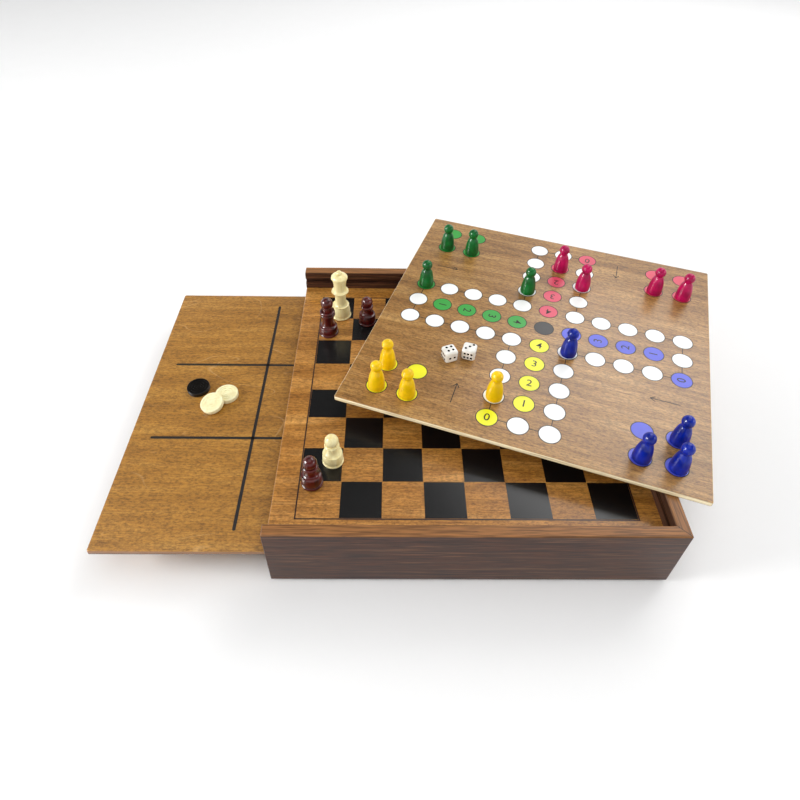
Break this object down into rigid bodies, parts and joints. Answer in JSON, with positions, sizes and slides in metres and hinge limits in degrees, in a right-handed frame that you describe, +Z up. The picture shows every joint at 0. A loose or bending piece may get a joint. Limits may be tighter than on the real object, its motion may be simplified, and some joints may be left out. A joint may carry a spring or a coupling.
{
  "type": "games compendium box",
  "caption": "Wooden games box with grooved walls and sliding boards for chess, noughts and crosses and ludo, with turned men, pawns, draughts and dice.",
  "frame": {"origin": "centre of the case's underside, where it rests", "axes": "+X along the front wall towards the closed end, boards slide out towards -X; +Y from the front wall to the rear wall; +Z up"},
  "size_m": [0.4486, 0.3237, 0.0815],
  "materials": {
    "stained_wall_wood": "satin stain with straight grain",
    "plain_plywood": "bare sanded plywood",
    "stained_chess_plywood": "satin varnish over fine grain and printed squares",
    "golden_plywood": "satin golden stain over fine figure",
    "stained_ludo_plywood": "satin stain with printed circles",
    "cream_turned_wood": "satin lacquer on pale turned wood",
    "brown_turned_wood": "glossy dark red-brown lacquer",
    "black_lacquered_wood": "glossy black lacquer",
    "cream_draught_wood": "satin lacquer on pale turned wood",
    "yellow_lacquered_wood": "glossy opaque lacquer",
    "green_lacquered_wood": "glossy opaque lacquer",
    "pink_lacquered_wood": "glossy opaque lacquer",
    "blue_lacquered_wood": "glossy opaque lacquer",
    "white_dice_plastic": "polished white with black pips"
  },
  "bodies": {
    "case": {"front_wall": "stained_wall_wood", "rear_wall": "stained_wall_wood", "right_wall": "stained_wall_wood", "left_wall": "stained_wall_wood", "bottom_panel": "plain_plywood", "long_divider": "plain_plywood", "draughts_divider": "plain_plywood", "chess_divider": "plain_plywood", "stored_cream_men": "cream_turned_wood", "stored_brown_men": "brown_turned_wood", "stored_black_draughts": "black_lacquered_wood", "stored_cream_draughts": "cream_draught_wood"},
    "chess_board_body": {"chess_board": "stained_chess_plywood"},
    "tic_tac_toe_board_body": {"tic_tac_toe_board": "golden_plywood"},
    "ludo_board_body": {"ludo_board": "stained_ludo_plywood"},
    "yellow_pawn_1_body": {"yellow_pawn_1": "yellow_lacquered_wood"},
    "yellow_pawn_2_body": {"yellow_pawn_2": "yellow_lacquered_wood"},
    "yellow_pawn_3_body": {"yellow_pawn_3": "yellow_lacquered_wood"},
    "yellow_pawn_4_body": {"yellow_pawn_4": "yellow_lacquered_wood"},
    "green_pawn_1_body": {"green_pawn_1": "green_lacquered_wood"},
    "green_pawn_2_body": {"green_pawn_2": "green_lacquered_wood"},
    "green_pawn_3_body": {"green_pawn_3": "green_lacquered_wood"},
    "green_pawn_4_body": {"green_pawn_4": "green_lacquered_wood"},
    "pink_pawn_1_body": {"pink_pawn_1": "pink_lacquered_wood"},
    "pink_pawn_2_body": {"pink_pawn_2": "pink_lacquered_wood"},
    "pink_pawn_3_body": {"pink_pawn_3": "pink_lacquered_wood"},
    "pink_pawn_4_body": {"pink_pawn_4": "pink_lacquered_wood"},
    "blue_pawn_1_body": {"blue_pawn_1": "blue_lacquered_wood"},
    "blue_pawn_2_body": {"blue_pawn_2": "blue_lacquered_wood"},
    "blue_pawn_3_body": {"blue_pawn_3": "blue_lacquered_wood"},
    "blue_pawn_4_body": {"blue_pawn_4": "blue_lacquered_wood"},
    "left_die_body": {"left_die": "white_dice_plastic"},
    "right_die_body": {"right_die": "white_dice_plastic"},
    "cream_queen_body": {"cream_queen": "cream_turned_wood"},
    "cream_chess_pawn_body": {"cream_chess_pawn": "cream_turned_wood"},
    "brown_bishop_body": {"brown_bishop": "brown_turned_wood"},
    "rear_brown_chess_pawn_body": {"rear_brown_chess_pawn": "brown_turned_wood"},
    "front_brown_chess_pawn_body": {"front_brown_chess_pawn": "brown_turned_wood"},
    "black_draught_body": {"black_draught": "black_lacquered_wood"},
    "cream_draught_body": {"cream_draught": "cream_draught_wood"},
    "leaning_cream_draught_body": {"leaning_cream_draught": "cream_draught_wood"}
  },
  "joints": [
    {"name": "chess_board_slide", "type": "slide", "parent": "case", "child": "chess_board_body", "axis": [-1, 0, 0], "range_m": [0, 0.225]},
    {"name": "tic_tac_toe_board_slide", "type": "slide", "parent": "case", "child": "tic_tac_toe_board_body", "axis": [-1, 0, 0], "range_m": [-0.1072, 0.118]},
    {"name": "ludo_board_lift", "type": "slide", "parent": "case", "child": "ludo_board_body", "axis": [0, 0, 1], "range_m": [0, 0.08]},
    {"name": "yellow_pawn_1_lift", "type": "slide", "parent": "ludo_board_body", "child": "yellow_pawn_1_body", "axis": [0, 0, 1], "range_m": [0, 0.05]},
    {"name": "yellow_pawn_2_lift", "type": "slide", "parent": "ludo_board_body", "child": "yellow_pawn_2_body", "axis": [0, 0, 1], "range_m": [0, 0.05]},
    {"name": "yellow_pawn_3_lift", "type": "slide", "parent": "ludo_board_body", "child": "yellow_pawn_3_body", "axis": [0, 0, 1], "range_m": [0, 0.05]},
    {"name": "yellow_pawn_4_lift", "type": "slide", "parent": "ludo_board_body", "child": "yellow_pawn_4_body", "axis": [0, 0, 1], "range_m": [0, 0.05]},
    {"name": "green_pawn_1_lift", "type": "slide", "parent": "ludo_board_body", "child": "green_pawn_1_body", "axis": [0, 0, 1], "range_m": [0, 0.05]},
    {"name": "green_pawn_2_lift", "type": "slide", "parent": "ludo_board_body", "child": "green_pawn_2_body", "axis": [0, 0, 1], "range_m": [0, 0.05]},
    {"name": "green_pawn_3_lift", "type": "slide", "parent": "ludo_board_body", "child": "green_pawn_3_body", "axis": [0, 0, 1], "range_m": [0, 0.05]},
    {"name": "green_pawn_4_lift", "type": "slide", "parent": "ludo_board_body", "child": "green_pawn_4_body", "axis": [0, 0, 1], "range_m": [0, 0.05]},
    {"name": "pink_pawn_1_lift", "type": "slide", "parent": "ludo_board_body", "child": "pink_pawn_1_body", "axis": [0, 0, 1], "range_m": [0, 0.05]},
    {"name": "pink_pawn_2_lift", "type": "slide", "parent": "ludo_board_body", "child": "pink_pawn_2_body", "axis": [0, 0, 1], "range_m": [0, 0.05]},
    {"name": "pink_pawn_3_lift", "type": "slide", "parent": "ludo_board_body", "child": "pink_pawn_3_body", "axis": [0, 0, 1], "range_m": [0, 0.05]},
    {"name": "pink_pawn_4_lift", "type": "slide", "parent": "ludo_board_body", "child": "pink_pawn_4_body", "axis": [0, 0, 1], "range_m": [0, 0.05]},
    {"name": "blue_pawn_1_lift", "type": "slide", "parent": "ludo_board_body", "child": "blue_pawn_1_body", "axis": [0, 0, 1], "range_m": [0, 0.05]},
    {"name": "blue_pawn_2_lift", "type": "slide", "parent": "ludo_board_body", "child": "blue_pawn_2_body", "axis": [0, 0, 1], "range_m": [0, 0.05]},
    {"name": "blue_pawn_3_lift", "type": "slide", "parent": "ludo_board_body", "child": "blue_pawn_3_body", "axis": [0, 0, 1], "range_m": [0, 0.05]},
    {"name": "blue_pawn_4_lift", "type": "slide", "parent": "ludo_board_body", "child": "blue_pawn_4_body", "axis": [0, 0, 1], "range_m": [0, 0.05]},
    {"name": "left_die_lift", "type": "slide", "parent": "ludo_board_body", "child": "left_die_body", "axis": [0, 0, 1], "range_m": [0, 0.05]},
    {"name": "right_die_lift", "type": "slide", "parent": "ludo_board_body", "child": "right_die_body", "axis": [0, 0, 1], "range_m": [0, 0.05]},
    {"name": "cream_queen_lift", "type": "slide", "parent": "chess_board_body", "child": "cream_queen_body", "axis": [0, 0, 1], "range_m": [0, 0.06]},
    {"name": "cream_chess_pawn_lift", "type": "slide", "parent": "chess_board_body", "child": "cream_chess_pawn_body", "axis": [0, 0, 1], "range_m": [0, 0.06]},
    {"name": "brown_bishop_lift", "type": "slide", "parent": "chess_board_body", "child": "brown_bishop_body", "axis": [0, 0, 1], "range_m": [0, 0.06]},
    {"name": "rear_brown_chess_pawn_lift", "type": "slide", "parent": "chess_board_body", "child": "rear_brown_chess_pawn_body", "axis": [0, 0, 1], "range_m": [0, 0.06]},
    {"name": "front_brown_chess_pawn_lift", "type": "slide", "parent": "chess_board_body", "child": "front_brown_chess_pawn_body", "axis": [0, 0, 1], "range_m": [0, 0.06]},
    {"name": "black_draught_lift", "type": "slide", "parent": "tic_tac_toe_board_body", "child": "black_draught_body", "axis": [0, 0, 1], "range_m": [0, 0.045]},
    {"name": "cream_draught_lift", "type": "slide", "parent": "tic_tac_toe_board_body", "child": "cream_draught_body", "axis": [0, 0, 1], "range_m": [0, 0.045]},
    {"name": "leaning_cream_draught_lift", "type": "slide", "parent": "cream_draught_body", "child": "leaning_cream_draught_body", "axis": [0, 0, 1], "range_m": [0, 0.03]}
  ]
}
